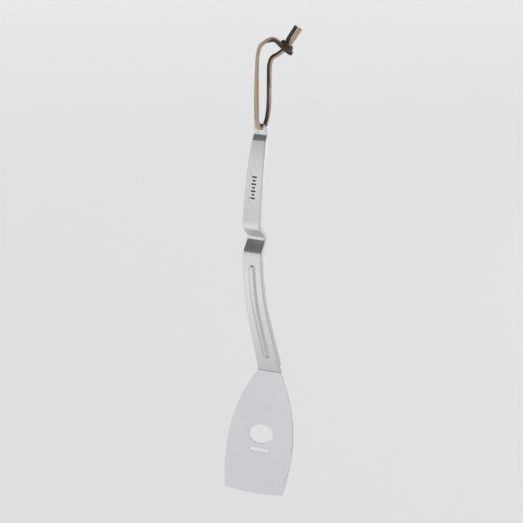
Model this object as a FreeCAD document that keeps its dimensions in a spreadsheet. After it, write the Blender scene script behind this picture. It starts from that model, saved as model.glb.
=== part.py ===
import FreeCAD, Part
import math
import os

import Sketcher

# Grill spatula hanging from the leather thong in its hang hole.
#
# Row frame: +Z up, +X to the right and -Y to the front, where the food side of the blade faces.
# The origin is the hook seat: the inside of the thong's loop, straight above the hang hole.
# The steel is two pressings of one sheet, so every flat, flange and bead has the sheet's thickness.
# All lengths are millimetres and all angles are degrees.

V = FreeCAD.Vector
UP = V(0, 0, 1)
RIGHT = V(1, 0, 0)

doc = FreeCAD.newDocument("grill_spatula")

# ---------------------------------------------------------------- driving dimensions

DIMENSIONS = [
    # where the tool hangs
    ("hang_drop", 80.0),            # origin down to the lowest point of the thong's centre line
    ("seat_gap", 0.4),              # thong to the rim of the hang hole
    # the sheet that both pressings are made of
    ("handle_sheet", 1.5),
    ("blade_sheet", 1.5),
    ("edge_round", 1.2),            # outside radius of the folded edges
    # hang tab
    ("tab_height", 11.0),
    ("tab_corner", 4.5),
    ("hang_hole_dia", 7.0),
    ("hang_hole_drop", 6.2),        # top edge of the tab down to the hole's centre
    # side view of the handle, measured down from the tab's top and forward from the tab's front
    ("step_drop", 15.8),            # joggle below the tab
    ("step_reach", 3.2),
    ("grip_top_lean", 17.0),
    ("grip_low_lean", 8.0),
    ("rest_start_drop", 103.5),     # thumb rest: a V folded backwards across the handle
    ("rest_start_reach", 21.6),
    ("rest_peak_drop", 116.8),
    ("rest_peak_reach", 8.1),
    ("rest_end_drop", 130.2),
    ("neck_reach", 19.2),
    ("neck_lean", 22.5),
    ("root_drop", 268.0),           # where the neck meets the blade
    ("root_back", 20.9),            # how far behind the tab's front that line is
    # bend radii on the front face
    ("step_low_radius", 2.0),
    ("step_high_radius", 8.0),
    ("grip_radius", 420.0),
    ("rest_shoulder_radius", 12.0),
    ("rest_peak_radius", 4.0),
    ("neck_radius", 180.0),
    ("root_radius", 0.8),
    # front view of the handle
    ("tab_width", 15.0),
    ("grip_mid_width", 18.6),
    ("grip_end_width", 19.8),
    ("neck_top_width", 21.2),
    ("neck_mid_width", 23.0),
    ("neck_low_width", 24.6),
    ("root_width", 27.0),
    ("grip_mid_drop", 61.0),
    ("neck_top_drop", 137.0),
    ("neck_mid_drop", 205.0),
    ("neck_low_drop", 242.0),
    # turned-back flanges that stiffen grip and neck
    ("flange_depth", 5.0),
    ("flange_top_drop", 16.0),
    ("flange_end_drop", 262.0),
    ("flange_cut_angle", 40.0),
    # shallow label panel in the grip
    ("panel_drop", 63.0),
    ("panel_length", 29.5),
    ("panel_width", 9.5),
    ("panel_depth", 0.3),
    ("panel_corner", 1.5),
    # raised bead on the neck
    ("bead_start_drop", 147.0),
    ("bead_end_drop", 247.0),
    ("bead_half_width", 3.9),
    ("bead_height", 1.4),
    # lap joint behind the blade
    ("tongue_length", 20.0),
    ("tongue_width", 22.0),
    ("tongue_corner", 6.0),
    ("lap_gap", 0.55),              # bend line to the blade's root edge
    ("root_land", 0.2),             # square part of that edge; the rest is bevelled to the bend
    ("weld_dia", 5.0),
    ("weld_spacing", 12.0),
    ("weld_row_drop", 6.5),         # bend to the upper welds, along the tongue
    ("weld_row_pitch", 7.5),
    # blade
    ("blade_lean", 17.3),
    ("blade_length", 127.8),        # bend line to the middle of the front edge
    ("blade_width", 75.5),
    ("widest_drop", 82.0),
    ("side_low_radius", 200.0),
    ("front_edge_radius", 225.0),
    ("blade_corner", 3.0),
    ("bevel_width", 4.0),
    ("bevel_rise", 0.8),
    ("blade_edge_round", 0.25),
    ("drain_width", 27.6),
    ("drain_height", 19.4),
    ("drain_drop", 66.0),
    ("slot_length", 22.0),
    ("slot_width", 3.3),
    ("slot_drop", 82.6),
    # leather thong
    ("thong_dia", 4.0),
    ("loop_turn", 28.0),            # plane of the loop's top, turned from the plane of the tab
    ("hook_radius", 10.0),
    ("hook_side", 9.5),             # hook's centre, sideways from the line above the hang hole
    ("knot_side", 24.6),            # knot's centre, in the plane of the loop's top
    ("knot_drop", 6.3),             # and how far below the top of the loop
    ("knot_length", 17.0),
    ("knot_width", 14.0),
    ("tail_length", 18.5),
    ("tail_start", 5.5),            # knot's centre to the tail's lower end
    ("tail_lean", 58.0),
    ("tail_gap", 0.6),              # between the two tails
]

ALIASES = {name for name, _ in DIMENSIONS}
TOUCH = 0.01                        # edges and faces this near a place are at it
TIGHTEST_BEND = 0.2                 # inside radius left where a bend closes on itself
BEND_ROOM = 0.98                    # share of a run that its two bends may take together
CLEAR = 1.0                         # how far cutting shapes stand past what they cut
QUARTER_TURN = math.pi / 2

sheet = doc.addObject("Spreadsheet::Sheet", "Dimensions")
for row, (name, value) in enumerate(DIMENSIONS, start=1):
    sheet.set("A%d" % row, name)
    sheet.set("B%d" % row, str(value))
    sheet.setAlias("B%d" % row, name)
doc.recompute()


def size(name):
    """The value of one cell of the sheet."""
    return float(sheet.get(name))


def bind(feature, prop, expression):
    """Bind a property to the sheet; words that are aliases get the sheet's name."""
    words = [
        "Dimensions." + word if word in ALIASES else word
        for word in expression.replace("(", " ( ").replace(")", " ) ").split()
    ]
    feature.setExpression(prop, " ".join(words))


# ---------------------------------------------------------------- plane curves


def rounded_path(points, radii):
    """Edges along straight runs joined by tangent arcs. radii holds one value per inner point."""
    edges = []
    start = points[0]
    for before, corner, after, radius in zip(points, points[1:], points[2:], radii):
        into = (corner - before).normalize()
        out = (after - corner).normalize()
        half = into.getAngle(out) / 2
        reach = radius * math.tan(half)
        arc_start = corner - into * reach
        arc_end = corner + out * reach
        middle_way = (out - into).normalize()
        arc_middle = corner + middle_way * (radius / math.cos(half) - radius)
        edges.append(Part.LineSegment(start, arc_start).toShape())
        edges.append(Part.Arc(arc_start, arc_middle, arc_end).toShape())
        start = arc_end
    edges.append(Part.LineSegment(start, points[-1]).toShape())
    return edges


def back_normal(direction):
    """Normal of a side-view direction, on the back of a run that goes down."""
    return V(0, -direction.z, direction.y)


def shifted(points, radii, depth):
    """The same side-view path moved depth to the back, with its bend radii to match."""
    ways = [(b - a).normalize() for a, b in zip(points, points[1:])]
    moved = [points[0] + back_normal(ways[0]) * depth]
    new_radii = []
    for corner, into, out, radius in zip(points[1:], ways, ways[1:], radii):
        half = into.getAngle(out) / 2
        middle = (back_normal(into) + back_normal(out)).normalize()
        moved.append(corner + middle * (depth / math.cos(half)))
        turns_back = out.dot(back_normal(into)) > 0
        new_radii.append(max(radius - depth, TIGHTEST_BEND) if turns_back else radius + depth)
    moved.append(points[-1] + back_normal(ways[-1]) * depth)
    return moved, new_radii


def fitted(points, radii):
    """The same radii, with the larger bend of a run reduced where two bends would not fit on it."""
    corners = range(1, len(points) - 1)
    halves = [(points[i] - points[i - 1]).getAngle(points[i + 1] - points[i]) / 2 for i in corners]
    reaches = [radius * math.tan(half) for radius, half in zip(radii, halves)]
    for i in range(len(reaches) - 1):
        room = BEND_ROOM * (points[i + 2] - points[i + 1]).Length
        larger, smaller = (i, i + 1) if reaches[i] > reaches[i + 1] else (i + 1, i)
        reaches[larger] = min(reaches[larger], room - reaches[smaller])
    return [reach / math.tan(half) for reach, half in zip(reaches, halves)]


def band(points, radii, near, far, half_span):
    """Solid across the handle between two depths behind its front face."""
    near_points, near_radii = shifted(points, radii, near)
    far_points, far_radii = shifted(points, radii, far)
    edges = rounded_path(near_points, near_radii)
    edges.append(Part.LineSegment(near_points[-1], far_points[-1]).toShape())
    edges += rounded_path(far_points[::-1], far_radii[::-1])
    edges.append(Part.LineSegment(far_points[0], near_points[0]).toShape())
    face = Part.Face(Part.Wire(Part.__sortEdges__(edges)))
    face.translate(V(-half_span, 0, 0))
    return face.extrude(V(2 * half_span, 0, 0))


# ---------------------------------------------------------------- places worked out once

THONG_LOW = V(0, 0, -size("hang_drop"))
HOLE_RISE = size("hang_hole_dia") / 2 - size("thong_dia") / 2 - size("seat_gap")
HOLE_CENTRE = THONG_LOW - UP * HOLE_RISE
TAB_TOP = HOLE_CENTRE + UP * size("hang_hole_drop") - V(0, size("handle_sheet") / 2, 0)


def side_point(reach, drop):
    """Side-view point: reach forward of the tab's front face, drop below the tab's top."""
    return TAB_TOP + V(0, -reach, -drop)


def way_down(lean_forward):
    """Direction of a run that goes down and leans forward."""
    lean = math.radians(lean_forward)
    return V(0, -math.sin(lean), -math.cos(lean))


def crossing(point_a, way_a, point_b, way_b):
    """Where two side-view lines cross."""
    gap = point_b - point_a
    across = way_a.y * way_b.z - way_a.z * way_b.y
    along = (gap.y * way_b.z - gap.z * way_b.y) / across
    return point_a + way_a * along


ROOT = side_point(-size("root_back"), size("root_drop"))
NECK_WAY = way_down(-size("neck_lean"))
BLADE_WAY = way_down(size("blade_lean"))


def handle_side():
    """Front face of the handle in side view, from the tab's top to the tongue's end."""
    step = side_point(size("step_reach"), size("step_drop"))
    rest_start = side_point(size("rest_start_reach"), size("rest_start_drop"))
    grip_corner = crossing(
        step, way_down(size("grip_top_lean")), rest_start, way_down(size("grip_low_lean"))
    )
    neck_top = side_point(size("neck_reach"), size("rest_end_drop"))
    neck_corner = crossing(neck_top, way_down(0), ROOT, NECK_WAY)
    tongue_start = crossing(
        ROOT, NECK_WAY, ROOT + back_normal(BLADE_WAY) * size("blade_sheet"), BLADE_WAY
    )
    points = [
        side_point(0, 0),
        side_point(0, size("tab_height")),
        step,
        grip_corner,
        rest_start,
        side_point(size("rest_peak_reach"), size("rest_peak_drop")),
        neck_top,
        neck_corner,
        tongue_start,
        tongue_start + BLADE_WAY * size("tongue_length"),
    ]
    radii = [
        size("step_low_radius"),
        size("step_high_radius"),
        size("grip_radius"),
        size("rest_shoulder_radius"),
        size("rest_peak_radius"),
        size("rest_shoulder_radius"),
        size("neck_radius"),
        size("root_radius"),
    ]
    return points, radii


SIDE_POINTS, SIDE_RADII = handle_side()
SIDE_RADII = fitted(SIDE_POINTS, SIDE_RADII)
NECK_CORNER = SIDE_POINTS[7]
TONGUE_START = SIDE_POINTS[8]
TONGUE_END = SIDE_POINTS[9]

# ---------------------------------------------------------------- handle


def handle_outline(inset):
    """Front-view face of the handle, from tab to tongue, drawn inset inside its edge."""
    places = [
        (size("tab_width"), size("tab_height")),
        (size("grip_mid_width"), size("grip_mid_drop")),
        (size("grip_end_width"), size("rest_start_drop")),
        (size("neck_top_width"), size("neck_top_drop")),
        (size("neck_mid_width"), size("neck_mid_drop")),
        (size("neck_low_width"), size("neck_low_drop")),
        (size("root_width"), size("root_drop")),
    ]
    side = [V(width / 2 - inset, 0, TAB_TOP.z - drop) for width, drop in places]
    curve = Part.BSplineCurve()
    curve.interpolate(side)
    shoulder = side[-1]
    half_tongue = size("tongue_width") / 2 - inset
    tongue_top = V(half_tongue, 0, shoulder.z - (shoulder.x - half_tongue))
    tongue_low = V(half_tongue, 0, TONGUE_END.z + size("tongue_corner"))
    corner = size("tab_corner")
    half_tab = size("tab_width") / 2 - inset
    tab_side = V(half_tab, 0, TAB_TOP.z - corner)
    tab_top = V(half_tab - corner, 0, TAB_TOP.z)
    bend = corner * (1 - math.sqrt(0.5))
    right = [
        Part.Arc(tab_top, V(half_tab - bend, 0, TAB_TOP.z - bend), tab_side).toShape(),
        Part.LineSegment(tab_side, side[0]).toShape(),
        curve.toShape(),
        Part.LineSegment(shoulder, tongue_top).toShape(),
        Part.LineSegment(tongue_top, tongue_low).toShape(),
    ]
    radius = size("tongue_corner")
    dip = radius * math.sqrt(0.5)
    tongue_middle = V(half_tongue - radius + dip, 0, tongue_low.z - dip)
    tongue_foot = V(half_tongue - radius, 0, tongue_low.z - radius)
    right.append(Part.Arc(tongue_low, tongue_middle, tongue_foot).toShape())
    mirrored = [edge.mirror(V(0, 0, 0), RIGHT) for edge in right]
    top = Part.LineSegment(tab_top, V(-tab_top.x, 0, tab_top.z)).toShape()
    foot = Part.LineSegment(tongue_foot, V(-tongue_foot.x, 0, tongue_foot.z)).toShape()
    wire = Part.Wire(Part.__sortEdges__(right + mirrored + [top, foot]))
    return Part.Face(wire)


def through(face, reach):
    """Prism of a front-view face, reach to the front and to the back."""
    moved = face.copy()
    moved.translate(V(0, -reach, 0))
    return moved.extrude(V(0, 2 * reach, 0))


def flange_relief(back_space):
    """The parts of the space behind the sheet where the flanges are cut away."""
    span = 2 * size("root_width")
    lean = size("flange_cut_angle")
    top_edge = side_point(-size("handle_sheet") / 2, size("flange_top_drop"))
    top = Part.makeBox(span, span, span, V(-span / 2, 0, 0))
    top.rotate(V(0, 0, 0), RIGHT, -lean)
    top.translate(top_edge - V(0, size("step_reach"), 0))
    end_edge = crossing(ROOT, NECK_WAY, side_point(0, size("flange_end_drop")), V(0, 1, 0))
    end = Part.makeBox(span, span, span, V(-span / 2, 0, -span))
    end.rotate(V(0, 0, 0), RIGHT, lean)
    end.translate(end_edge)
    return back_space.common(top.fuse(end))


def label_panel():
    """Shallow panel with rounded corners that follows the grip's curve."""
    half_width = size("panel_width") / 2
    half_length = size("panel_length") / 2
    reach = 2 * size("rest_start_reach")
    block = Part.makeBox(
        2 * half_width, reach, 2 * half_length, V(-half_width, -reach, -half_length)
    )
    corners = [edge for edge in block.Edges if abs(edge.tangentAt(0).y) > TOUCH]
    block = block.makeFillet(size("panel_corner"), corners)
    block.translate(side_point(0, size("panel_drop")))
    skin = band(SIDE_POINTS, SIDE_RADII, -CLEAR, size("panel_depth"), half_width + CLEAR)
    return block.common(skin)


def bead_rod(radius, depth):
    """Round-ended rod along the neck, its centre line depth behind the front face."""
    bend = SIDE_RADII[6]
    turn = math.radians(size("neck_lean"))
    top_of_bend = NECK_CORNER + UP * bend * math.tan(turn / 2)
    centre = top_of_bend + V(0, bend, 0)
    arm = bend - depth

    def on_bend(angle):
        return centre + V(0, -arm * math.cos(angle), -arm * math.sin(angle))

    start_height = side_point(0, size("bead_start_drop")).z
    start_angle = math.asin((centre.z - start_height) / arm)
    start = on_bend(start_angle)
    bend_end = on_bend(turn)
    end_height = side_point(0, size("bead_end_drop")).z
    end = bend_end + NECK_WAY * ((end_height - bend_end.z) / NECK_WAY.z)
    path = Part.Wire([
        Part.Arc(start, on_bend((start_angle + turn) / 2), bend_end).toShape(),
        Part.LineSegment(bend_end, end).toShape(),
    ])
    start_way = V(0, math.sin(start_angle), -math.cos(start_angle))
    ring = Part.Wire([Part.makeCircle(radius, start, start_way)])
    rod = path.makePipeShell([ring], True, True)
    return rod.fuse([Part.makeSphere(radius, start), Part.makeSphere(radius, end)])


def handle_shape():
    """Tab, grip, thumb rest, neck and tongue, pressed from one sheet."""
    thick = size("handle_sheet")
    span = size("root_width")
    outer = band(SIDE_POINTS, SIDE_RADII, 0, size("flange_depth"), span)
    reach = 4 * span
    outer = outer.common(through(handle_outline(0), reach)).Solids[0]
    folded = [edge for edge in outer.Edges if is_folded_edge(edge)]
    outer = outer.makeFillet(size("edge_round"), folded)
    back_space = band(SIDE_POINTS, SIDE_RADII, thick, size("flange_depth") + CLEAR, span)
    hollow = back_space.common(through(handle_outline(thick), reach))
    shell = outer.cut([hollow, flange_relief(back_space)])
    # the bead is pressed out of the neck, so its back is hollow too
    rise = size("bead_height")
    bead_radius = (size("bead_half_width") ** 2 + rise ** 2) / (2 * rise)
    bead_depth = bead_radius - rise
    behind_front = band(SIDE_POINTS, SIDE_RADII, 0, 2 * bead_radius + CLEAR, span)
    ridge = bead_rod(bead_radius, bead_depth).cut(behind_front)
    shell = shell.fuse(ridge).cut(bead_rod(bead_radius - thick, bead_depth))
    shell = shell.cut(label_panel())
    hole_start = HOLE_CENTRE - V(0, thick, 0)
    hole = Part.makeCylinder(size("hang_hole_dia") / 2, 2 * thick, hole_start, V(0, 1, 0))
    shell = shell.cut(hole)
    shell = shell.cut([weld_plug(place) for place in weld_places()])
    return shell.removeSplitter()


def is_folded_edge(edge):
    """True on the long edges where the front face turns into the sides."""
    halfway = (edge.FirstParameter + edge.LastParameter) / 2
    middle = edge.valueAt(halfway)
    flat = Part.Vertex(V(0, middle.y, middle.z))
    on_front = flat.distToShape(FRONT_LINE)[0] < TOUCH
    at_side = abs(middle.x) > (size("tab_width") - size("tab_corner")) / 2
    above_lap = middle.z > ROOT.z
    below_tab = middle.z < TAB_TOP.z - size("tab_corner")
    runs_down = abs(edge.tangentAt(halfway).x) < math.sqrt(0.5)
    return on_front and at_side and above_lap and below_tab and runs_down


FRONT_LINE = Part.Wire(rounded_path(SIDE_POINTS, SIDE_RADII))

# ---------------------------------------------------------------- welds


def weld_places():
    """Centres of the weld plugs, on the front face of the tongue."""
    first_row = TONGUE_START + BLADE_WAY * size("weld_row_drop")
    second_row = first_row + BLADE_WAY * size("weld_row_pitch")
    half = size("weld_spacing") / 2
    return [first_row + V(-half, 0, 0), first_row + V(half, 0, 0), second_row]


def weld_plug(place):
    """One plug of weld metal through the tongue, from the blade to the tongue's back."""
    return Part.makeCylinder(
        size("weld_dia") / 2, size("handle_sheet"), place, back_normal(BLADE_WAY)
    )


# ---------------------------------------------------------------- blade


def attach(body, name, role):
    """Sketch on one of the body's own origin planes."""
    sketch = body.newObject("Sketcher::SketchObject", name)
    plane = [item for item in body.Origin.OriginFeatures if item.Role == role][0]
    sketch.AttachmentSupport = (plane, [""])
    sketch.MapMode = "FlatFace"
    return sketch


def limit(sketch, expression, *constraint):
    """Add a size constraint and bind it to the sheet."""
    index = sketch.addConstraint(Sketcher.Constraint(*constraint))
    bind(sketch, "Constraints[%d]" % index, expression)


def arc_by_ends(centre, start, end):
    """Counter-clockwise arc about centre from start to end."""
    radius = (start - centre).Length
    first = math.atan2(start.y - centre.y, start.x - centre.x)
    last = math.atan2(end.y - centre.y, end.x - centre.x)
    return Part.ArcOfCircle(Part.Circle(centre, UP, radius), first, last)


def circles_meet(centre_a, radius_a, centre_b, radius_b):
    """The lower of the two points where two circles cross."""
    apart = centre_b - centre_a
    gap = apart.Length
    along = (radius_a ** 2 - radius_b ** 2 + gap ** 2) / (2 * gap)
    aside = math.sqrt(radius_a ** 2 - along ** 2)
    base = centre_a + apart * (along / gap)
    square = V(-apart.y, apart.x, 0) * (aside / gap)
    return min(base + square, base - square, key=lambda point: point.y)


def blade_outline(sketch):
    """Two side arcs that meet at the widest place, a root edge and a bowed front edge."""
    half_root = size("root_width") / 2
    half_wide = size("blade_width") / 2
    top = -size("lap_gap")
    widest = -size("widest_drop")
    drop = top - widest
    side = half_wide - half_root
    upper_radius = (side ** 2 + drop ** 2) / (2 * side)
    low_radius = size("side_low_radius")
    foot = -size("blade_length")
    bow = size("front_edge_radius")
    front_centre = V(0, foot + bow, 0)
    upper_centre = V(half_wide - upper_radius, widest, 0)
    low_centre = V(half_wide - low_radius, widest, 0)
    corner = circles_meet(low_centre, low_radius, front_centre, bow)
    root_right = V(half_root, top, 0)
    wide_right = V(half_wide, widest, 0)

    def left(point):
        return V(-point.x, point.y, 0)

    sketch.addGeometry([
        Part.LineSegment(root_right, left(root_right)),
        arc_by_ends(upper_centre, wide_right, root_right),
        arc_by_ends(low_centre, corner, wide_right),
        arc_by_ends(front_centre, left(corner), corner),
        arc_by_ends(left(low_centre), left(wide_right), left(corner)),
        arc_by_ends(left(upper_centre), left(root_right), left(wide_right)),
    ], False)
    root, right_up, right_low, front, left_low, left_up = range(6)
    fixed = Sketcher.Constraint
    sketch.addConstraint([
        fixed("Coincident", root, 1, right_up, 2),
        fixed("Coincident", right_up, 1, right_low, 2),
        fixed("Coincident", right_low, 1, front, 2),
        fixed("Coincident", front, 1, left_low, 2),
        fixed("Coincident", left_low, 1, left_up, 2),
        fixed("Coincident", left_up, 1, root, 2),
        fixed("Symmetric", root, 1, root, 2, -2),
        fixed("Symmetric", right_up, 1, left_up, 2, -2),
        fixed("Symmetric", front, 1, front, 2, -2),
        fixed("Horizontal", right_up, 1, right_up, 3),
        fixed("Horizontal", right_low, 2, right_low, 3),
        fixed("Horizontal", left_up, 2, left_up, 3),
        fixed("Horizontal", left_low, 1, left_low, 3),
    ])
    limit(sketch, "root_width / 2", "DistanceX", -1, 1, root, 1, half_root)
    limit(sketch, "lap_gap", "DistanceY", root, 1, -1, 1, -top)
    limit(sketch, "blade_width / 2", "DistanceX", -1, 1, right_up, 1, half_wide)
    limit(sketch, "widest_drop", "DistanceY", right_up, 1, -1, 1, size("widest_drop"))
    limit(sketch, "side_low_radius", "Radius", right_low, low_radius)
    limit(sketch, "front_edge_radius", "Radius", front, bow)
    limit(sketch, "front_edge_radius - blade_length", "DistanceY", -1, 1, front, 3, bow + foot)


def bevel_wedge(sketch):
    """Side view of the metal that the front edge's bevel takes off the plate's back."""
    inner = V(-size("blade_length") + size("bevel_width"), -size("blade_sheet"), 0)
    outer = inner + V(-2 * size("bevel_width"), 2 * size("bevel_rise"), 0)
    below = V(outer.x, inner.y - CLEAR, 0)
    sketch.addGeometry([
        Part.LineSegment(inner, outer),
        Part.LineSegment(outer, below),
        Part.LineSegment(below, V(inner.x, below.y, 0)),
        Part.LineSegment(V(inner.x, below.y, 0), inner),
    ], False)
    fixed = Sketcher.Constraint
    sketch.addConstraint([
        fixed("Coincident", 0, 2, 1, 1),
        fixed("Coincident", 1, 2, 2, 1),
        fixed("Coincident", 2, 2, 3, 1),
        fixed("Coincident", 3, 2, 0, 1),
        fixed("Vertical", 1),
        fixed("Horizontal", 2),
        fixed("Vertical", 3),
        fixed("DistanceY", 3, 1, 3, 2, CLEAR),
    ])
    limit(sketch, "blade_length - bevel_width", "DistanceX", 0, 1, -1, 1, -inner.x)
    limit(sketch, "blade_sheet", "DistanceY", 0, 1, -1, 1, -inner.y)
    limit(sketch, "2 * bevel_width", "DistanceX", 0, 2, 0, 1, inner.x - outer.x)
    limit(sketch, "2 * bevel_rise", "DistanceY", 0, 1, 0, 2, outer.y - inner.y)


def drain_hole(sketch):
    """Oval drain hole on the centre line."""
    centre = V(0, -size("drain_drop"), 0)
    long_half = size("drain_width") / 2
    short_half = size("drain_height") / 2
    oval = Part.Ellipse(centre + V(long_half, 0, 0), centre + V(0, short_half, 0), centre)
    sketch.addGeometry(oval, False)
    sketch.exposeInternalGeometry(0)
    sketch.addConstraint(Sketcher.Constraint("PointOnObject", 0, 3, -2))
    sketch.addConstraint(Sketcher.Constraint("Horizontal", 1))
    limit(sketch, "drain_drop", "DistanceY", 0, 3, -1, 1, size("drain_drop"))
    limit(sketch, "drain_width", "Distance", 1, size("drain_width"))
    limit(sketch, "drain_height", "Distance", 2, size("drain_height"))


def drain_slot(sketch):
    """Straight round-ended slot below the drain hole, square to the centre line."""
    half = (size("slot_length") - size("slot_width")) / 2
    radius = size("slot_width") / 2
    level = -size("slot_drop")
    left_end = Part.Circle(V(-half, level, 0), UP, radius)
    right_end = Part.Circle(V(half, level, 0), UP, radius)
    sketch.addGeometry([
        Part.ArcOfCircle(left_end, QUARTER_TURN, 3 * QUARTER_TURN),
        Part.ArcOfCircle(right_end, -QUARTER_TURN, QUARTER_TURN),
        Part.LineSegment(V(-half, level - radius, 0), V(half, level - radius, 0)),
        Part.LineSegment(V(half, level + radius, 0), V(-half, level + radius, 0)),
    ], False)
    fixed = Sketcher.Constraint
    sketch.addConstraint([
        fixed("Tangent", 0, 2, 2, 1),
        fixed("Tangent", 2, 2, 1, 1),
        fixed("Tangent", 1, 2, 3, 1),
        fixed("Tangent", 3, 2, 0, 1),
        fixed("Horizontal", 2),
        fixed("Symmetric", 0, 3, 1, 3, -2),
    ])
    limit(sketch, "slot_width / 2", "Radius", 0, radius)
    limit(sketch, "slot_length - slot_width", "DistanceX", 0, 3, 1, 3, 2 * half)
    limit(sketch, "slot_drop", "DistanceY", 0, 3, -1, 1, size("slot_drop"))


def pocket_through(body, name, sketch):
    """Cut a sketch right through the plate, and check that metal came away."""
    before = body.Shape.Volume
    pocket = body.newObject("PartDesign::Pocket", name)
    pocket.Profile = sketch
    pocket.Type = "ThroughAll"
    pocket.Midplane = True
    sketch.Visibility = False
    doc.recompute()
    assert body.Shape.Volume < before - TOUCH, name + " cut nothing"
    return pocket


def edge_names(shape, wanted):
    """Names of the edges whose direction and place at their middle pass the test."""
    names = []
    for index, edge in enumerate(shape.Edges, start=1):
        halfway = (edge.FirstParameter + edge.LastParameter) / 2
        if wanted(edge.tangentAt(halfway), edge.valueAt(halfway)):
            names.append("Edge%d" % index)
    return names


def build_blade():
    """Flat plate with its front face on the body's XY plane and its root towards +Y."""
    body = doc.addObject("PartDesign::Body", "Blade")
    body.Label = "blade"
    outline = attach(body, "BladeOutline", "XY_Plane")
    blade_outline(outline)
    plate = body.newObject("PartDesign::Pad", "Plate")
    plate.Profile = outline
    bind(plate, "Length", "blade_sheet")
    plate.Reversed = True
    doc.recompute()
    corners = body.newObject("PartDesign::Fillet", "FrontCorners")
    front_level = -(size("widest_drop") + size("blade_length")) / 2
    upright = edge_names(
        body.Shape, lambda way, middle: abs(way.z) > TOUCH and middle.y < front_level
    )
    corners.Base = (plate, upright)
    bind(corners, "Radius", "blade_corner")
    doc.recompute()
    wedge = attach(body, "FrontBevelWedge", "YZ_Plane")
    bevel_wedge(wedge)
    doc.recompute()
    front_bevel = pocket_through(body, "FrontBevel", wedge)
    root_bevel = body.newObject("PartDesign::Chamfer", "RootBevel")
    back_face = -size("blade_sheet")
    head = edge_names(
        body.Shape,
        lambda way, middle: abs(middle.z - back_face) < TOUCH
        and abs(middle.y + size("lap_gap")) < TOUCH,
    )
    root_bevel.Base = (front_bevel, head)
    root_bevel.ChamferType = "Distance and Angle"
    root_bevel.FlipDirection = True
    bind(root_bevel, "Size", "blade_sheet - root_land")
    bind(root_bevel, "Angle", "90 - neck_lean - blade_lean")
    doc.recompute()
    hole_sketch = attach(body, "DrainHoleOutline", "XY_Plane")
    drain_hole(hole_sketch)
    doc.recompute()
    pocket_through(body, "DrainHole", hole_sketch)
    slot_sketch = attach(body, "DrainSlotOutline", "XY_Plane")
    drain_slot(slot_sketch)
    doc.recompute()
    slot = pocket_through(body, "DrainSlot", slot_sketch)
    rims = body.newObject("PartDesign::Fillet", "SoftRims")
    below_root = -2 * size("lap_gap")
    front_rims = edge_names(
        body.Shape, lambda way, middle: abs(middle.z) < TOUCH and middle.y < below_root
    )
    rims.Base = (slot, front_rims)
    bind(rims, "Radius", "blade_edge_round")
    doc.recompute()
    turn = FreeCAD.Rotation(RIGHT, 90 - size("blade_lean"))
    body.Placement = FreeCAD.Placement(ROOT, turn)
    return body


# ---------------------------------------------------------------- leather thong


def loop_place(side, rise):
    """Point in the plane of the loop's top, side from the line above the hang hole."""
    turn = math.radians(size("loop_turn"))
    return V(side * math.cos(turn), side * math.sin(turn), rise)


def route_radii(points, fixed):
    """Arc radii of a route: 0.45 of the shorter run over the tangent of half the turn."""
    radii = []
    for index in range(1, len(points) - 1):
        into = points[index] - points[index - 1]
        out = points[index + 1] - points[index]
        half = into.getAngle(out) / 2
        radius = 0.45 * min(into.Length, out.Length) / math.tan(half)
        radii.append(fixed.get(index, radius))
    return radii


HOOK_CENTRE_RISE = -math.sqrt(size("hook_radius") ** 2 - size("hook_side") ** 2)
LOOP_TOP = HOOK_CENTRE_RISE + size("hook_radius") + size("thong_dia") / 2
KNOT_CENTRE = loop_place(size("knot_side"), LOOP_TOP - size("knot_drop"))


def loop_route():
    """Centre line of the loop: knot, over the hook, down, through the hang hole and back."""
    low = THONG_LOW.z
    shoulder = size("hook_side") - size("hook_radius") - size("thong_dia") / 2
    return [
        KNOT_CENTRE,
        loop_place(16.5, LOOP_TOP),
        loop_place(shoulder, LOOP_TOP),
        V(-3.0, -2.9, low + 62),
        V(-1.4, -6.4, low + 22),
        V(-0.2, -7.4, low),
        V(0.3, 9.9, low),
        V(3.6, 11.4, low + 17),
        V(6.4, 6.4, low + 46),
        loop_place(8.9, LOOP_TOP - 19.5),
        loop_place(21.0, LOOP_TOP - 13.0),
        KNOT_CENTRE + V(0, 0, -0.5),
    ]


def build_loop():
    """The thong's loop as one round tube."""
    points = loop_route()
    hook_arc = size("hook_radius") + size("thong_dia") / 2
    radii = route_radii(points, {1: hook_arc, 2: hook_arc})
    edges = rounded_path(points, radii)
    path = Part.Wire(edges)
    ring = Part.makeCircle(size("thong_dia") / 2, points[0], points[1] - points[0])
    tube = path.makePipeShell([Part.Wire([ring])], True, False)
    section = math.pi * size("thong_dia") ** 2 / 4
    print("loop radii", [round(radius, 1) for radius in radii])
    print("loop runs", [round((b - a).Length, 1) for a, b in zip(points, points[1:])])
    print("loop length", round(path.Length, 1))
    print("loop volume ratio", round(tube.Volume / (section * path.Length), 4))
    return tube


def along_tails():
    """Turn that takes +Z to the way that the tails lean, in the plane of the loop's top."""
    tilt = FreeCAD.Rotation(V(0, 1, 0), 90 - size("tail_lean"))
    return FreeCAD.Rotation(UP, size("loop_turn")).multiply(tilt)


def build_knot():
    """Closed outer shape of the knot that joins both ends of the loop, longest along the tails."""
    knot = doc.addObject("Part::Ellipsoid", "ThongKnot")
    knot.Label = "thong_knot"
    bind(knot, "Radius1", "knot_length / 2")
    bind(knot, "Radius2", "knot_width / 2")
    bind(knot, "Radius3", "knot_width / 2")
    knot.Placement = FreeCAD.Placement(KNOT_CENTRE, along_tails())
    return knot


def build_tail(name, label, side):
    """One free end of the thong, leaving the knot upwards."""
    tail = doc.addObject("Part::Cylinder", name)
    tail.Label = label
    bind(tail, "Radius", "thong_dia / 2")
    bind(tail, "Height", "tail_length")
    aside = side * (size("thong_dia") + size("tail_gap")) / 2
    offset = along_tails().multVec(V(aside, 0, size("tail_start")))
    tail.Placement = FreeCAD.Placement(KNOT_CENTRE + offset, along_tails())
    return tail


# ---------------------------------------------------------------- the object


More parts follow.
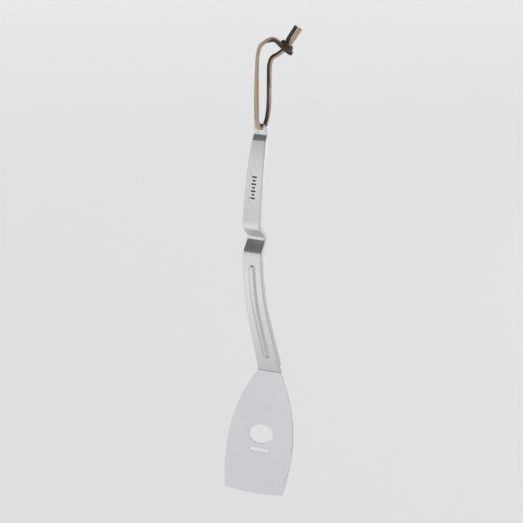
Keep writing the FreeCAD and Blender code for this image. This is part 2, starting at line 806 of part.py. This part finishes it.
def add_shape(name, label, shape):
    """Document object for a piece that is shaped in code."""
    feature = doc.addObject("Part::Feature", name)
    feature.Label = label
    feature.Shape = shape
    return feature


handle = add_shape("Handle", "handle", handle_shape())
blade = build_blade()
plugs = [weld_plug(place) for place in weld_places()]
welds = add_shape("SpotWelds", "spot_welds", Part.makeCompound(plugs))
loop = add_shape("ThongLoop", "thong_loop", build_loop())
knot = build_knot()
tail_left = build_tail("ThongTailLeft", "thong_tail_left", -1)
tail_right = build_tail("ThongTailRight", "thong_tail_right", 1)
doc.recompute()

pieces = [handle, blade, welds, loop, knot, tail_left, tail_right]
for item in doc.Objects:
    assert not {"Invalid", "Error"} & set(item.State), item.Name + " failed"
for piece in pieces:
    assert not piece.Shape.isNull() and piece.Shape.isValid(), piece.Label + " has a bad shape"

os.makedirs("parts", exist_ok=True)
for piece in pieces:
    piece.Shape.exportStep(os.path.join("parts", piece.Label + ".step"))
    box = piece.Shape.BoundBox
    print("%-18s solids %d  volume %9.1f  z %7.1f to %7.1f" % (
        piece.Label, len(piece.Shape.Solids), piece.Shape.Volume, box.ZMin, box.ZMax))
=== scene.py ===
import math

import bpy
from mathutils import Matrix, Vector, noise
from mathutils.bvhtree import BVHTree


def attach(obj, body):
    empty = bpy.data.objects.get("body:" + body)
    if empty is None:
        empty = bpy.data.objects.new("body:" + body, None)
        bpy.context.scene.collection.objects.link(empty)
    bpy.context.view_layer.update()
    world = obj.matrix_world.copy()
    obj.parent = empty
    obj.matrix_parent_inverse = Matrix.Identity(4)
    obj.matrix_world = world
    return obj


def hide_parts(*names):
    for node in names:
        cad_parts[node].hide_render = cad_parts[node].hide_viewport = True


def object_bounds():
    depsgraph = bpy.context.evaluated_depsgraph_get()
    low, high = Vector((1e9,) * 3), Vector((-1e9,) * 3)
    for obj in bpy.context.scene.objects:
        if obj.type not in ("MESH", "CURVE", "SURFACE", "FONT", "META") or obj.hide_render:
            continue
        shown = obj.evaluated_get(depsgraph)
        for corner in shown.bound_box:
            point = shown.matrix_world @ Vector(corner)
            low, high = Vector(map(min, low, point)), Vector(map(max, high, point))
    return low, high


# Grill spatula hanging from its leather thong. Metres, in the CAD model's frame: +Z up, front
# to -Y. Handle and blade are the CAD nodes with materials made here. The thong with its knot and
# tails, the bars in the grip's label panel and the faces of the welds are built here.

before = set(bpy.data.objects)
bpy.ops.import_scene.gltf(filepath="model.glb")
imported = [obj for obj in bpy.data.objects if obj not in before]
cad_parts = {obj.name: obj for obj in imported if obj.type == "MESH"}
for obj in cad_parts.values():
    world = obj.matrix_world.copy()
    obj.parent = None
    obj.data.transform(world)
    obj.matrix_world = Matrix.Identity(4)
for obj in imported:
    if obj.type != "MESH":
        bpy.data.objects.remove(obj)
cad_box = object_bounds()

MM = 0.001

# The camera stands in front of the tool, to its right and a little above its middle. It is far
# enough away for the tool's two ends to come out at nearly one scale, as in the photograph.
CAMERA_AZIMUTH = math.radians(26.9)
CAMERA_ELEVATION = math.radians(16.5)
CAMERA_AWAY = 3.0
FILLED_SHARE = 0.92          # of the picture's height that the tool takes
SENSOR_WIDTH = 36

# The leather thong
THONG_WIDTH = 4.0 * MM
THONG_THICKNESS = 3.6 * MM
KNOT_TURN = 13 * MM          # the part of the line before that, tight round the knot


def make_camera():
    low, high = cad_box
    aim = (low + high) / 2
    data = bpy.data.cameras.new("camera")
    data.sensor_width = SENSOR_WIDTH
    data.lens = SENSOR_WIDTH * FILLED_SHARE * CAMERA_AWAY / (high.z - low.z)
    camera = bpy.data.objects.new("camera", data)
    bpy.context.scene.collection.objects.link(camera)
    level_way = Vector((math.sin(CAMERA_AZIMUTH), -math.cos(CAMERA_AZIMUTH), 0))
    outward = level_way * math.cos(CAMERA_ELEVATION) + Vector((0, 0, math.sin(CAMERA_ELEVATION)))
    camera.location = aim + outward * CAMERA_AWAY
    camera.rotation_euler = (-outward).to_track_quat("-Z", "Y").to_euler()
    bpy.context.scene.camera = camera


make_camera()

# ---------------------------------------------------------------- meshes


def add_mesh(name, points, faces, smooth=True):
    """A linked mesh object from points and faces."""
    mesh = bpy.data.meshes.new(name)
    mesh.from_pydata([tuple(point) for point in points], [], faces)
    mesh.polygons.foreach_set("use_smooth", [smooth] * len(faces))
    mesh.update()
    made = bpy.data.objects.new(name, mesh)
    bpy.context.scene.collection.objects.link(made)
    return made


def mark_points(made, name, values):
    """A number for each point of the mesh, which its material reads."""
    attribute = made.data.attributes.new(name, "FLOAT", "POINT")
    attribute.data.foreach_set("value", values)


def eased(stops, at):
    """Value at a place between given stops, eased from one to the next."""
    for (start, first), (end, last) in zip(stops, stops[1:]):
        if at <= end:
            share = (at - start) / (end - start)
            return first + (last - first) * share * share * (3 - 2 * share)
    return stops[-1][1]


# ---------------------------------------------------------------- the thong

LOOP_TURN = math.radians(28)  # the loop's top and the knot lie in a plane turned by this
LOOP_SIDE = Vector((math.cos(LOOP_TURN), math.sin(LOOP_TURN), 0))
LOOP_RISE = 8.8775 * MM      # middle of the thong where it lies over the hook


def loop_place(side, rise):
    """Point in the plane of the loop's top, side from the line above the hang hole."""
    return LOOP_SIDE * side + Vector((0, 0, rise))


KNOT_SIDE = 24.6 * MM
KNOT_DROP = 6.3 * MM
KNOT_CENTRE = loop_place(KNOT_SIDE, LOOP_RISE - KNOT_DROP)
TAIL_LEAN = math.radians(58)  # of both tails above level
TAIL_WAY = LOOP_SIDE * math.cos(TAIL_LEAN) + Vector((0, 0, math.sin(TAIL_LEAN)))
BAND_WAY = LOOP_SIDE * math.sin(TAIL_LEAN) - Vector((0, 0, math.cos(TAIL_LEAN)))
TO_CAMERA = LOOP_SIDE.cross(Vector((0, 0, 1)))


def knot_place(across, forward, along):
    """Point by the knot: across it to the lower right, forward to the camera, along the tails."""
    return KNOT_CENTRE + (BAND_WAY * across + TO_CAMERA * forward + TAIL_WAY * along) * MM


# Control points of the lace's line. It starts inside the knot, comes round its lower right and
# crosses its front on the way to the hook; the rest is the CAD model's own route.
ROUTE = [
    knot_place(0.5, -2.0, 0.0),
    knot_place(7.6, -2.6, -1.2),
    knot_place(7.4, 4.6, -1.2),
    knot_place(-3.2, 4.2, -0.6),
    loop_place(14.5 * MM, 12.4 * MM) + TO_CAMERA * 0.8 * MM,
    loop_place(4.5 * MM, 9.4 * MM),
    loop_place(-2.3 * MM, 3.0 * MM),
    Vector((-3.0, -2.9, -18.0)) * MM,
    Vector((-1.4, -6.4, -58.0)) * MM,
    Vector((-0.2, -7.4, -80.0)) * MM,
    Vector((0.3, 9.9, -80.0)) * MM,
    Vector((3.6, 11.4, -63.0)) * MM,
    Vector((6.4, 6.4, -34.0)) * MM,
    loop_place(8.7 * MM, -8.2 * MM),
    loop_place(19.0 * MM, -3.4 * MM),
    KNOT_CENTRE + Vector((0, 0, -0.5 * MM)),
]


LINE_STEPS = 16              # points per control point


def smooth_line(name, places):
    """Points along the NURBS spline that has these control points."""
    data = bpy.data.curves.new(name, "CURVE")
    data.dimensions = "3D"
    spline = data.splines.new("NURBS")
    spline.points.add(len(places) - 1)
    for point, place in zip(spline.points, places):
        point.co = (*place, 1)
    spline.order_u = 3
    spline.use_endpoint_u = True
    spline.resolution_u = LINE_STEPS
    bare = bpy.data.objects.new(name, data)
    mesh = bpy.data.meshes.new_from_object(bare)
    line = [vertex.co.copy() for vertex in mesh.vertices]
    bpy.data.meshes.remove(mesh)
    bpy.data.curves.remove(data)
    return line


def index_along(line, distance):
    """Index of the first point that is so far along the line."""
    gone = 0.0
    for index, (here, there) in enumerate(zip(line, line[1:])):
        if gone >= distance:
            return index
        gone += (there - here).length
    return len(line) - 1


def tangents(line):
    """Direction of a line at each of its points."""
    last = len(line) - 1
    return [(line[min(i + 1, last)] - line[max(i - 1, 0)]).normalized() for i in range(len(line))]


CORNER_ROUND = 0.55 * MM
CORNER_STEPS = 4
LOOP_WAVER = 0.035           # how uneven the lace is cut, as a share of its width
END_WAVER = 0.05
LEAN_PER_WAVER = 6           # how much its section leans about its line, in radians
SWELL_SIZE = 7 * MM
LEAN_SIZE = 16 * MM
LEAN_OFFSET = Vector((5, 3, 1))  # keeps the lean's noise apart from the swell's
CUT_SHARE = 0.86             # a cut end's flat part, as a share of the section
CUT_RISE = 0.25 * MM
CUT_GRAIN = 0.4


def lace_section():
    """Outline of the lace: (towards the grain face, across), and 1 where it is grain."""
    high = THONG_THICKNESS / 2 - CORNER_ROUND
    wide = THONG_WIDTH / 2 - CORNER_ROUND
    outline = []
    for quarter, (side_u, side_v) in enumerate([(1, 1), (-1, 1), (-1, -1), (1, -1)]):
        for step in range(CORNER_STEPS + 1):
            angle = math.radians(90 * (quarter + step / CORNER_STEPS))
            u = side_u * high + CORNER_ROUND * math.cos(angle)
            v = side_v * wide + CORNER_ROUND * math.sin(angle)
            outline.append((u, v, max(0.0, (u - high) / CORNER_ROUND)))
    return outline


def lace(name, line, facing, waver=LOOP_WAVER):
    """A square leather lace along a line. facing gives the way its grain face looks."""
    section = lace_section()
    around = len(section)
    points, grain = [], []
    ways = tangents(line)
    for place, way, look in zip(line, ways, facing):
        up = (look - way * look.dot(way)).normalized()
        across = way.cross(up)
        swell = 1 + waver * noise.noise(place / SWELL_SIZE)
        lean = waver * LEAN_PER_WAVER * noise.noise(place / LEAN_SIZE + LEAN_OFFSET)
        up, across = (
            up * math.cos(lean) + across * math.sin(lean),
            across * math.cos(lean) - up * math.sin(lean),
        )
        for u, v, is_grain in section:
            points.append(place + (up * u + across * v) * swell)
            grain.append(is_grain)
    faces = []
    for ring in range(len(line) - 1):
        start = ring * around
        for k in range(around):
            after = (k + 1) % around
            faces.append((start + k, start + after, start + around + after, start + around + k))
    for ring, turn in ((0, -1), (len(line) - 1, 1)):
        way = ways[ring] * turn
        rim = [ring * around + k for k in range(around)]
        inner = []
        for k in rim:
            spot = line[ring] + (points[k] - line[ring]) * CUT_SHARE + way * CUT_RISE
            inner.append(len(points))
            points.append(spot)
            grain.append(grain[k] * CUT_GRAIN)
        for k in range(around):
            after = (k + 1) % around
            quad = (rim[k], rim[after], inner[after], inner[k])
            faces.append(quad if turn > 0 else quad[::-1])
        faces.append(tuple(inner) if turn > 0 else tuple(inner[::-1]))
    made = add_mesh(name, points, faces)
    mark_points(made, "grain", grain)
    return made


# The grain side looks out of the knot up to the first share of the line, and from the second on
# to the inside of the loop, turned about the lace by LOOP_TWIST: (share of the line, degrees).
KNOT_SHARE = (0.08, 0.17)
INSIDE_TOP = loop_place(3.2 * MM, -3.0 * MM)
INSIDE_FOOT = Vector((0.2, 1.2, -70.0)) * MM
LOOP_TWIST = [
    (0.0, 95), (0.18, 95), (0.245, 62), (0.34, 8), (0.60, 0), (0.76, 6), (0.86, 40), (1.0, 20),
]


def loop_facing(line):
    """The way that the grain face looks at each point of the line."""
    knot_part = [(0.0, 0.0), (KNOT_SHARE[0], 0.0), (KNOT_SHARE[1], 1.0), (1.0, 1.0)]
    facing = []
    for index, (place, way) in enumerate(zip(line, tangents(line))):
        share = index / (len(line) - 1)
        drop = (INSIDE_TOP.z - place.z) / (INSIDE_TOP.z - INSIDE_FOOT.z)
        inward = INSIDE_TOP.lerp(INSIDE_FOOT, min(1, max(0, drop))) - place
        inward = (inward - way * inward.dot(way)).normalized()
        inward = Matrix.Rotation(math.radians(eased(LOOP_TWIST, share)), 3, way) @ inward
        off_axis = place - KNOT_CENTRE
        outward = (off_axis - TAIL_WAY * off_axis.dot(TAIL_WAY)).normalized()
        facing.append(outward.lerp(inward, eased(knot_part, share)))
    return facing


# The line's first turn, round the knot, is the knot's; the loop is the rest of it.
thong_line = smooth_line("thong_line", ROUTE)
thong_facing = loop_facing(thong_line)
turn_end = index_along(thong_line, KNOT_TURN)
loop_line = thong_line[turn_end:]
loop_piece = lace("leather_loop", loop_line, thong_facing[turn_end:])
turn_piece = lace("leather_knot_turn", thong_line[:turn_end + 1], thong_facing[:turn_end + 1])


KNOT_TURNS = 1.35
KNOT_STEPS = 72
KNOT_START = -0.70 * math.pi
KNOT_CORE = Vector((1.6, 1.4)) * MM    # the turn's reach across and forward at its tucked ends
KNOT_REACH = Vector((3.6, 2.3)) * MM   # and how much further it reaches between them
KNOT_TUCK = 5                # its ends tuck in over one part in so many of its length
KNOT_FOOT = 1.4 * MM         # the turn's place along the tails, and its climb
KNOT_CLIMB = 3.0 * MM
KNOT_OPEN = 0.5              # how much its grain side looks up along the tails


def build_knot():
    """The lace's other end, turned round both strands above the band."""
    line, facing = [], []
    for step in range(KNOT_STEPS + 1):
        share = step / KNOT_STEPS
        angle = 2 * math.pi * KNOT_TURNS * share + KNOT_START
        tuck = math.sin(math.pi * min(1, KNOT_TUCK * share, KNOT_TUCK * (1 - share)) / 2)
        reach = (KNOT_CORE + KNOT_REACH * tuck) / MM
        along = (KNOT_FOOT + KNOT_CLIMB * share) / MM
        line.append(knot_place(math.sin(angle) * reach.x, math.cos(angle) * reach.y, along))
        way_out = BAND_WAY * math.sin(angle) + TO_CAMERA * math.cos(angle)
        facing.append(way_out + TAIL_WAY * KNOT_OPEN)
    return lace("leather_knot", line, facing, waver=END_WAVER)


TAIL_LENGTH = 21.0 * MM
TAIL_START = 3.4 * MM        # from the knot's middle
TAIL_PITCH = 4.6 * MM
TAIL_SPREAD = (0.45, 1.6)    # the share of the pitch at the knot, and its growth along the tail
# (share of the tail's length, mm sideways)
TAIL_BENDS = ((0, 0), (0.35, 0.28), (0.7, -0.16), (1, 0.2))


def build_tail(name, side, look):
    """A cut end of the lace, leaving the knot upwards with a slight bend of its own."""
    places = []
    for share, bend in TAIL_BENDS:
        spread = min(1, TAIL_SPREAD[0] + share * TAIL_SPREAD[1])
        sideways = side * (TAIL_PITCH / 2 * spread + bend * MM)
        places.append(
            KNOT_CENTRE + TAIL_WAY * (TAIL_START + TAIL_LENGTH * share) + BAND_WAY * sideways
        )
    line = smooth_line(name + "_line", places)
    return lace(name, line, [look] * len(line), waver=END_WAVER)


knot_piece = build_knot()
tail_left = build_tail("leather_tail_left", -1, TO_CAMERA - BAND_WAY / 4)
tail_right = build_tail("leather_tail_right", 1, -TO_CAMERA)

for piece, node in (
    (loop_piece, "thong_loop"),
    (knot_piece, "thong_knot"),
    (turn_piece, "thong_knot"),
    (tail_left, "thong_tail_left"),
    (tail_right, "thong_tail_right"),
):
    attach(piece, "thong")
    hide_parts(node)

# ---------------------------------------------------------------- details on the steel

handle_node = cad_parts["handle"]
handle_tree = BVHTree.FromPolygons(
    [vertex.co for vertex in handle_node.data.vertices],
    [tuple(polygon.vertices) for polygon in handle_node.data.polygons],
)

PANEL_MIDDLE = -137.9 * MM
LONG_MARK = 5.6 * MM
SHORT_MARK = 3.6 * MM
MARKS = 7
MARK_HEIGHT = 1.7 * MM
MARK_PITCH = 3.5 * MM
MARK_RISE = 0.07 * MM
END_STEPS = 6
IN_FRONT = -0.2              # a Y that is clear in front of the tool


def on_front(x, z):
    """The handle's front face straight behind a point, and its normal there."""
    place, normal, _, _ = handle_tree.ray_cast(Vector((x, IN_FRONT, z)), Vector((0, 1, 0)))
    return place, normal


def build_grip_marks():
    """A ladder of plain round-ended enamel bars down the recessed panel of the grip."""
    points, faces = [], []
    first = PANEL_MIDDLE + MARK_PITCH * (MARKS - 1) / 2
    for index in range(MARKS):
        level = first - MARK_PITCH * index
        straight = ((SHORT_MARK if index % 2 else LONG_MARK) - MARK_HEIGHT) / 2
        outline = []
        for side, start in ((1, -90), (-1, 90)):
            for step in range(END_STEPS + 1):
                angle = math.radians(start + 180 * step / END_STEPS)
                x = side * straight + MARK_HEIGHT / 2 * math.cos(angle)
                outline.append(on_front(x, level + MARK_HEIGHT / 2 * math.sin(angle)))
        around = len(outline)
        base = len(points)
        for rise in (-MARK_RISE, MARK_RISE):
            points += [place + normal * rise for place, normal in outline]
        for k in range(around):
            after = (k + 1) % around
            faces.append((base + k, base + after, base + around + after, base + around + k))
        faces.append(tuple(base + k for k in reversed(range(around))))
        faces.append(tuple(base + around + k for k in range(around)))
    return add_mesh("grip_marks", points, faces, smooth=False)


BLADE_LEAN = math.radians(17.3)
BLADE_BACK = Vector((0, math.cos(BLADE_LEAN), -math.sin(BLADE_LEAN)))
WELD_SPLIT = 3.0 * MM        # the X that parts the middle weld from the outer two
FACE_DEPTH = 0.01 * MM       # points no deeper than this are on a weld's back face
NUGGET_STEPS = 28
# (share of the weld's radius, rise in mm over its back face): a pressed dish inside a low ring
NUGGET_PROFILE = (
    (0.0, -0.22), (0.35, -0.20), (0.60, -0.10), (0.74, 0.08),
    (0.86, 0.12), (0.96, 0.05), (1.0, -0.05),
)


def weld_spots():
    """Middle of each weld's back face, and its radius, from the CAD node."""
    spots = []
    corners = [vertex.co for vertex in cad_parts["spot_welds"].data.vertices]
    for low, high in ((-1, -WELD_SPLIT), (-WELD_SPLIT, WELD_SPLIT), (WELD_SPLIT, 1)):
        own = [co for co in corners if low < co.x < high]
        back = max(co.dot(BLADE_BACK) for co in own)
        rim = [co for co in own if back - co.dot(BLADE_BACK) < FACE_DEPTH]
        middle_x = (min(co.x for co in rim) + max(co.x for co in rim)) / 2
        middle_z = (min(co.z for co in rim) + max(co.z for co in rim)) / 2
        radius = (max(co.x for co in rim) - min(co.x for co in rim)) / 2
        y = (back - middle_z * BLADE_BACK.z) / BLADE_BACK.y
        spots.append((Vector((middle_x, y, middle_z)), radius))
    return spots


def build_weld_nuggets(spots):
    """Resistance welds as they look from behind: a dished spot with a ring pushed up round it."""
    points, faces = [], []
    across = Vector((1, 0, 0))
    along = BLADE_BACK.cross(across)
    for centre, radius in spots:
        base = len(points)
        points.append(centre + BLADE_BACK * NUGGET_PROFILE[0][1] * MM)
        for ring, (share, rise) in enumerate(NUGGET_PROFILE[1:]):
            for k in range(NUGGET_STEPS):
                angle = 2 * math.pi * k / NUGGET_STEPS
                out = (across * math.cos(angle) + along * math.sin(angle)) * radius * share
                points.append(centre + out + BLADE_BACK * rise * MM)
                after = (k + 1) % NUGGET_STEPS
                outer = base + 1 + ring * NUGGET_STEPS
                inner = outer - NUGGET_STEPS
                if ring == 0:
                    faces.append((base, outer + k, outer + after))
                else:
                    faces.append((inner + k, outer + k, outer + after, inner + after))
    return add_mesh("weld_nuggets", points, faces)


grip_marks = build_grip_marks()
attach(grip_marks, "spatula")
weld_nuggets = build_weld_nuggets(weld_spots())
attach(weld_nuggets, "spatula")
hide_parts("spot_welds")

# ---------------------------------------------------------------- materials


class Recipe:
    """A material's node tree. add() makes a node and sets or links its inputs."""

    def __init__(self, name):
        self.material = bpy.data.materials.new(name)
        self.material.use_nodes = True
        self.tree = self.material.node_tree
        self.shader = self.tree.nodes["Principled BSDF"]

    def put(self, socket, value):
        if isinstance(value, bpy.types.NodeSocket):
            self.tree.links.new(value, socket)
        else:
            socket.default_value = value

    def add(self, kind, settings=None, **inputs):
        made = self.tree.nodes.new("ShaderNode" + kind)
        for name, value in (settings or {}).items():
            setattr(made, name, value)
        for name, value in inputs.items():
            key = int(name[1:]) if name[0] == "_" else name.replace("_", " ")
            self.put(made.inputs[key], value)
        return made.outputs[0]

    def surface(self, **inputs):
        for name, value in inputs.items():
            self.put(self.shader.inputs[name.replace("_", " ")], value)

    def attribute(self, name):
        """The number that the mesh's points carry under this name."""
        made = self.tree.nodes.new("ShaderNodeAttribute")
        made.attribute_name = name
        return made.outputs["Fac"]

    def place(self, scale=(1, 1, 1), turn=(0, 0, 0)):
        """The piece's own coordinates, scaled and turned."""
        own = self.tree.nodes.new("ShaderNodeTexCoord").outputs["Object"]
        return self.add("Mapping", Vector=own, Scale=scale, Rotation=turn)

    def noise(self, vector, scale, detail=2.0, roughness=0.5):
        return self.add(
            "TexNoise", Vector=vector, Scale=scale, Detail=detail, Roughness=roughness
        )

    def spread(self, value, low, high, to_low=0.0, to_high=1.0):
        """The value's part from low to high, stretched to run from to_low to to_high."""
        return self.add("MapRange", _0=value, _1=low, _2=high, _3=to_low, _4=to_high)

    def sum(self, *values, operation="ADD"):
        """All the values added, or joined by another operation, in this order."""
        total = values[0]
        for value in values[1:]:
            total = self.add("Math", {"operation": operation}, _0=total, _1=value)
        return total

    def blend(self, share, first, second):
        """The first colour where the share is 0, and the second where it is 1."""
        made = self.tree.nodes.new("ShaderNodeMix")
        made.data_type = "RGBA"
        for key, value in ((0, share), (6, first), (7, second)):
            self.put(made.inputs[key], value)
        return made.outputs[2]

    def bump(self, height, strength, distance):
        return self.add("Bump", Height=height, Strength=strength, Distance=distance)


# Scales are in waves per metre, for X, Y and Z where there are three. A noise's values lie
# mostly in MOST. The roughnesses are what each noise adds to the steel's own.
MOST = (0.3, 0.7)
FINE_GRIND = (5200, 5200, 60)
FINE_ROUGHNESS = 0.006
COARSE_GRIND = (900, 900, 14)
COARSE_ROUGHNESS = 0.010
HAND_MARKS = 26.0
HAND_ROUGHNESS = 0.03
HAND_TONE = 0.4              # how far the marks go to the darker tone
DARKER_TONE = 0.965
SCRATCHES = (30, 30, 420)
SCRATCH_TURN = (0, math.radians(24), 0)
SCRATCH_WIDTH = 0.006
SCRATCH_ROUGHNESS = 0.03
SCRATCHED_AREAS = 55.0


def steel(name, tone, roughness):
    """Satin stainless steel, ground along its length, with faint scratches and hand marks."""
    recipe = Recipe(name)
    fine = recipe.noise(recipe.place(FINE_GRIND), 1.0, 3.0, 0.6)
    coarse = recipe.noise(recipe.place(COARSE_GRIND), 1.0, 3.0, 0.6)
    hands = recipe.noise(recipe.place(), HAND_MARKS, 3.0, 0.55)
    waves = recipe.noise(recipe.place(SCRATCHES, SCRATCH_TURN), 1.0, 1.0)
    off_middle = recipe.sum(waves, 0.5, operation="SUBTRACT")
    line = recipe.add("Math", {"operation": "ABSOLUTE"}, _0=off_middle)
    areas = recipe.noise(recipe.place(), SCRATCHED_AREAS, 1.0)
    scratches = recipe.sum(
        recipe.spread(line, 0.0, SCRATCH_WIDTH, 1.0, 0.0),
        recipe.spread(areas, 0.58, 0.68, 0.0, SCRATCH_ROUGHNESS),
        operation="MULTIPLY",
    )
    dark = [channel * DARKER_TONE for channel in tone]
    base = recipe.blend(recipe.spread(coarse, *MOST), (*tone, 1), (*dark, 1))
    base = recipe.blend(recipe.spread(hands, 0.42, 0.75, 0, HAND_TONE), base, (*dark, 1))
    recipe.surface(
        Base_Color=base,
        Metallic=1.0,
        Roughness=recipe.sum(
            recipe.spread(fine, *MOST, -FINE_ROUGHNESS, FINE_ROUGHNESS),
            recipe.spread(coarse, *MOST, -COARSE_ROUGHNESS, COARSE_ROUGHNESS),
            recipe.spread(hands, 0.4, 0.7, 0.0, HAND_ROUGHNESS),
            scratches,
            roughness,
        ),
        Normal=recipe.bump(fine, 0.006, 0.02 * MM),
    )
    return recipe.material


TAN = (0.68, 0.53, 0.39, 1)
TAN_FIBRE = (0.50, 0.37, 0.255, 1)
TAN_STAIN = (0.42, 0.305, 0.21, 1)
GRAIN = (0.020, 0.015, 0.012, 1)
GRAIN_PALE = (0.052, 0.037, 0.027, 1)
GRAIN_WORN = (0.15, 0.095, 0.06, 1)
FIBRES = 2600.0
PEBBLES = 1500.0
RAGGED_EDGE = 900.0
RAGGED_BY = 0.28
WEAR = 420.0
CLOUDS = 130.0


def leather():
    """Lace leather: a dyed, pebbled grain face and tan fibrous cut sides."""
    recipe = Recipe("thong_leather")
    side = recipe.attribute("grain")
    ragged = recipe.noise(recipe.place(), RAGGED_EDGE, 3.0, 0.6)
    edge = recipe.sum(side, recipe.spread(ragged, *MOST, -RAGGED_BY, RAGGED_BY))
    dyed = recipe.spread(edge, 0.42, 0.58)
    fibre = recipe.noise(recipe.place(), FIBRES, 4.0, 0.7)
    cloud = recipe.noise(recipe.place(), CLOUDS, 3.0, 0.6)
    tan = recipe.blend(recipe.spread(fibre, 0.35, 0.7), TAN, TAN_FIBRE)
    tan = recipe.blend(recipe.spread(cloud, 0.4, 0.68, 0, 0.75), tan, TAN_STAIN)
    grain_tone = recipe.blend(recipe.spread(cloud, 0.35, 0.7), GRAIN, GRAIN_PALE)
    worn = recipe.spread(recipe.noise(recipe.place(), WEAR, 3.0, 0.7), 0.60, 0.72, 0, 0.5)
    grain_tone = recipe.blend(worn, grain_tone, GRAIN_WORN)
    height = recipe.add(
        "Mix",
        {"data_type": "FLOAT"},
        _0=dyed,
        _2=recipe.spread(fibre, 0.2, 0.8),
        _3=recipe.add("TexVoronoi", Vector=recipe.place(), Scale=PEBBLES),
    )
    recipe.surface(
        Base_Color=recipe.blend(dyed, tan, grain_tone),
        Roughness=recipe.spread(dyed, 0, 1, 0.88, 0.52),
        Normal=recipe.bump(height, 0.45, 0.18 * MM),
        Sheen_Weight=0.15,
        Sheen_Roughness=0.5,
    )
    return recipe.material


ENAMEL = (0.020, 0.020, 0.022, 1)
ENAMEL_WORN = (0.050, 0.050, 0.054, 1)
ENAMEL_MOTTLE = 1400.0


def enamel():
    """Baked dark enamel, slightly mottled and worn."""
    recipe = Recipe("mark_enamel")
    mottle = recipe.noise(recipe.place(), ENAMEL_MOTTLE, 3.0, 0.6)
    recipe.surface(
        Base_Color=recipe.blend(recipe.spread(mottle, *MOST), ENAMEL, ENAMEL_WORN),
        Roughness=recipe.spread(mottle, *MOST, 0.38, 0.55),
        Normal=recipe.bump(mottle, 0.2, 0.02 * MM),
    )
    return recipe.material


def dress(piece, material):
    """Give a piece this material in place of those it has."""
    piece.data.materials.clear()
    piece.data.materials.append(material)


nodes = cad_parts
dress(nodes["handle"], steel("handle_steel", tone=(0.60, 0.605, 0.615), roughness=0.26))
dress(nodes["blade"], steel("blade_steel", tone=(0.59, 0.597, 0.612), roughness=0.25))
dress(weld_nuggets, steel("weld_metal", tone=(0.44, 0.43, 0.42), roughness=0.34))
dress(grip_marks, enamel())
thong_leather = leather()
for piece in (loop_piece, turn_piece, knot_piece, tail_left, tail_right):
    dress(piece, thong_leather)

# ---------------------------------------------------------------- the studio

FLOOR_CLEARANCE = 0.16       # from the blade's edge down to the floor
FLOOR_LEVEL = cad_box[0].z - FLOOR_CLEARANCE
TENT_RADIUS = 4.6
TENT_TOP = 1.45
TENT_BEND = 0.25             # share of the radius that the floor takes to curve up
TENT_SIDES = 96
BEND_STEPS = 16
TENT_GLOW = 0.45
TENT_CLOTH = (0.80, 0.80, 0.805, 1)
TENT_THREAD = (0.77, 0.77, 0.775, 1)
TENT_WEAVE = 220.0
CEILING_GLOW = 0.22
CARD_RISE = 0.01             # of the glowing card over the floor


def make_world():
    """The ceiling over the tent, dim so that faces tilted up stay dark."""
    world = bpy.data.worlds.new("studio")
    bpy.context.scene.world = world
    world.use_nodes = True
    background = world.node_tree.nodes["Background"]
    background.inputs["Color"].default_value = (0.97, 0.98, 1.0, 1)
    background.inputs["Strength"].default_value = CEILING_GLOW


def softbox(name, place, aim, width, height, glow):
    """A soft rectangular light facing a place, as bright as glow wherever it is seen mirrored."""
    data = bpy.data.lights.new(name, "AREA")
    data.shape = "RECTANGLE"
    data.size = width
    data.size_y = height
    data.energy = glow * math.pi * width * height
    light = bpy.data.objects.new(name, data)
    bpy.context.scene.collection.objects.link(light)
    light.location = place
    light.rotation_euler = (Vector(aim) - Vector(place)).to_track_quat("-Z", "Y").to_euler()
    light.visible_camera = False


def make_tent():
    """Plain pale floor that curves up into the walls of a round light tent."""
    bend = TENT_BEND * TENT_RADIUS
    profile = [(TENT_RADIUS - bend, FLOOR_LEVEL)]
    for step in range(1, BEND_STEPS + 1):
        angle = math.pi / 2 * step / BEND_STEPS
        reach = TENT_RADIUS - bend * (1 - math.sin(angle))
        profile.append((reach, FLOOR_LEVEL + bend * (1 - math.cos(angle))))
    profile.append((TENT_RADIUS, TENT_TOP))
    points = [(0, 0, FLOOR_LEVEL)]
    faces = []
    for ring, (reach, height) in enumerate(profile):
        for k in range(TENT_SIDES):
            angle = 2 * math.pi * k / TENT_SIDES
            points.append((reach * math.cos(angle), reach * math.sin(angle), height))
            after = (k + 1) % TENT_SIDES
            inner, outer = 1 + (ring - 1) * TENT_SIDES, 1 + ring * TENT_SIDES
            if ring == 0:
                faces.append((0, outer + k, outer + after))
            else:
                faces.append((inner + k, outer + k, outer + after, inner + after))
    tent = add_mesh("studio_tent", points, faces)
    recipe = Recipe("studio_tent")
    weave = recipe.noise(recipe.place(), TENT_WEAVE, 3.0)
    recipe.surface(
        Base_Color=recipe.blend(recipe.spread(weave, *MOST), TENT_CLOTH, TENT_THREAD),
        Roughness=0.9,
        Emission_Color=(1.0, 1.0, 1.0, 1),
        Emission_Strength=TENT_GLOW,
    )
    dress(tent, recipe.material)


make_world()
make_tent()
middle = (cad_box[0] + cad_box[1]) / 2
card = Vector((-0.60, -0.62, FLOOR_LEVEL + CARD_RISE))
softbox("front_light", (-0.85, -1.60, 0.12), middle, width=2.4, height=0.56, glow=0.29)
softbox("tab_strip", (-0.72, -1.35, -0.50), middle, width=0.9, height=0.10, glow=1.1)
softbox("back_side_light", (0.95, 1.60, -0.15), middle, width=1.2, height=1.5, glow=0.75)
softbox("floor_card", card, card + Vector((0, 0, 1)), width=1.0, height=1.0, glow=0.45)
bpy.context.scene.view_settings.view_transform = "Standard"
